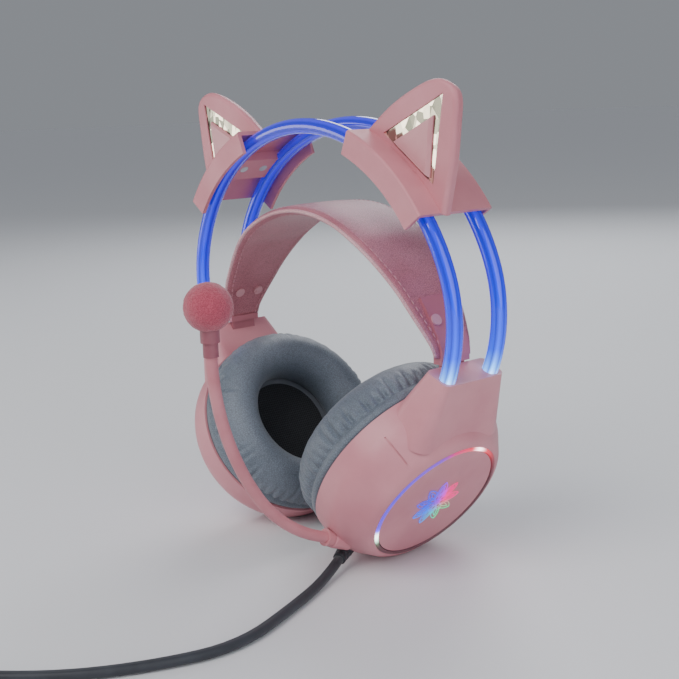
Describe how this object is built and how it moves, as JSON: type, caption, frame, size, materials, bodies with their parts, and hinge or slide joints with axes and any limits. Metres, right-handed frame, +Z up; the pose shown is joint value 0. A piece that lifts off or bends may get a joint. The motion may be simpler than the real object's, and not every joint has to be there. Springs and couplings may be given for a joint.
{
  "type": "gaming headset",
  "caption": "Over-ear headset with lit hoop tubes, cat-ear saddles, a floating strap, lit cup rings and a boom microphone.",
  "frame": {"origin": "on the table under the middle of the headset's box, the lying cord left out", "axes": "+X is the wearer's left, the microphone side, -Y is the way the wearer faces, +Z is up"},
  "size_m": [0.197, 0.3838, 0.2192],
  "materials": {
    "pink_shell": "fine moulded satin",
    "pink_trim": "smooth semi-gloss",
    "clear_tube": "clear polished acrylic",
    "light_core": "milky light guide",
    "ring_diffuser": "milky light guide",
    "emblem_diffuser": "milky light guide",
    "mirror_inlay": "polished",
    "grey_leather": "soft protein leather, gathered",
    "dark_cloth": "open loudspeaker cloth",
    "pink_leather": "fine grained, padded",
    "pink_inner": "moulded",
    "grey_inner": "moulded",
    "board_green": "solder mask",
    "driver_steel": "black pressed steel",
    "magnet": "sintered",
    "diaphragm": "thin film",
    "screw_steel": "plated",
    "rivet_metal": "pink enamel",
    "boom_rubber": "soft sleeve",
    "capsule_plastic": "moulded",
    "pink_foam": "open cell foam",
    "cord_jacket": "matt grey jacket",
    "relief_rubber": "moulded",
    "plug_metal": "plated",
    "plug_tongue": "moulded"
  },
  "bodies": {
    "headset": {"baffle_left": "grey_inner", "baffle_right": "grey_inner", "baffle_screws": "screw_steel", "cat_ear_left": "pink_shell", "cat_ear_right": "pink_shell", "control_board": "board_green", "cord_coil": "cord_jacket", "cord_run": "cord_jacket", "cord_tail": "cord_jacket", "cord_tie": "relief_rubber", "cup_shell_left": "pink_shell", "cup_shell_right": "pink_shell", "driver_diaphragm_left": "diaphragm", "driver_diaphragm_right": "diaphragm", "driver_frame_left": "driver_steel", "driver_frame_right": "driver_steel", "driver_magnet_left": "magnet", "driver_magnet_right": "magnet", "ear_cushion_left": "grey_leather", "ear_cushion_right": "grey_leather", "ear_mirror_left": "mirror_inlay", "ear_mirror_right": "mirror_inlay", "ear_panel_left": "pink_trim", "ear_panel_right": "pink_trim", "emblem_light_left": "emblem_diffuser", "emblem_light_right": "emblem_diffuser", "face_plate_left": "pink_trim", "face_plate_right": "pink_trim", "hoop_light_core_front": "light_core", "hoop_light_core_rear": "light_core", "hoop_tube_front": "clear_tube", "hoop_tube_rear": "clear_tube", "led_board_left": "board_green", "led_board_right": "board_green", "mic_socket": "pink_shell", "neck_cap_left": "pink_shell", "neck_cap_right": "pink_shell", "ring_light_left": "ring_diffuser", "ring_light_right": "ring_diffuser", "saddle_clamp_left": "pink_inner", "saddle_clamp_right": "pink_inner", "saddle_left": "pink_shell", "saddle_right": "pink_shell", "saddle_screws": "screw_steel", "speaker_cloth_left": "dark_cloth", "speaker_cloth_right": "dark_cloth", "strain_relief": "relief_rubber", "usb_plug_grip": "relief_rubber", "usb_plug_shell": "plug_metal", "usb_plug_tongue": "plug_tongue"},
    "suspension_strap": {"strap": "pink_leather", "strap_slider_left": "pink_inner", "strap_slider_right": "pink_inner", "strap_rivets": "rivet_metal"},
    "microphone": {"mic_boom": "boom_rubber", "mic_capsule": "capsule_plastic", "mic_foam": "pink_foam"},
    "volume_wheel": {"volume_wheel": "pink_trim"},
    "mute_button": {"mute_button": "pink_trim"}
  },
  "joints": [
    {"name": "strap_rise", "type": "slide", "parent": "headset", "child": "suspension_strap", "axis": [0, 0, 1], "range_m": [0, 0.018]},
    {"name": "mic_swivel", "type": "hinge", "parent": "headset", "child": "microphone", "pos_m": [0.0415, -0.00876, 0.01735], "axis": [0, -0.9272, 0.3746], "range_deg": [-60, 100]},
    {"name": "volume_turn", "type": "hinge", "parent": "headset", "child": "volume_wheel", "pos_m": [0.0452, 0.07111, 0.03731], "axis": [0.8406, 0, -0.5417], "range_deg": [-135, 135]},
    {"name": "mute_press", "type": "slide", "parent": "headset", "child": "mute_button", "axis": [0.3335, -0.788, 0.5175], "range_m": [0, 0.0008], "stiffness_N_per_m": 600}
  ]
}
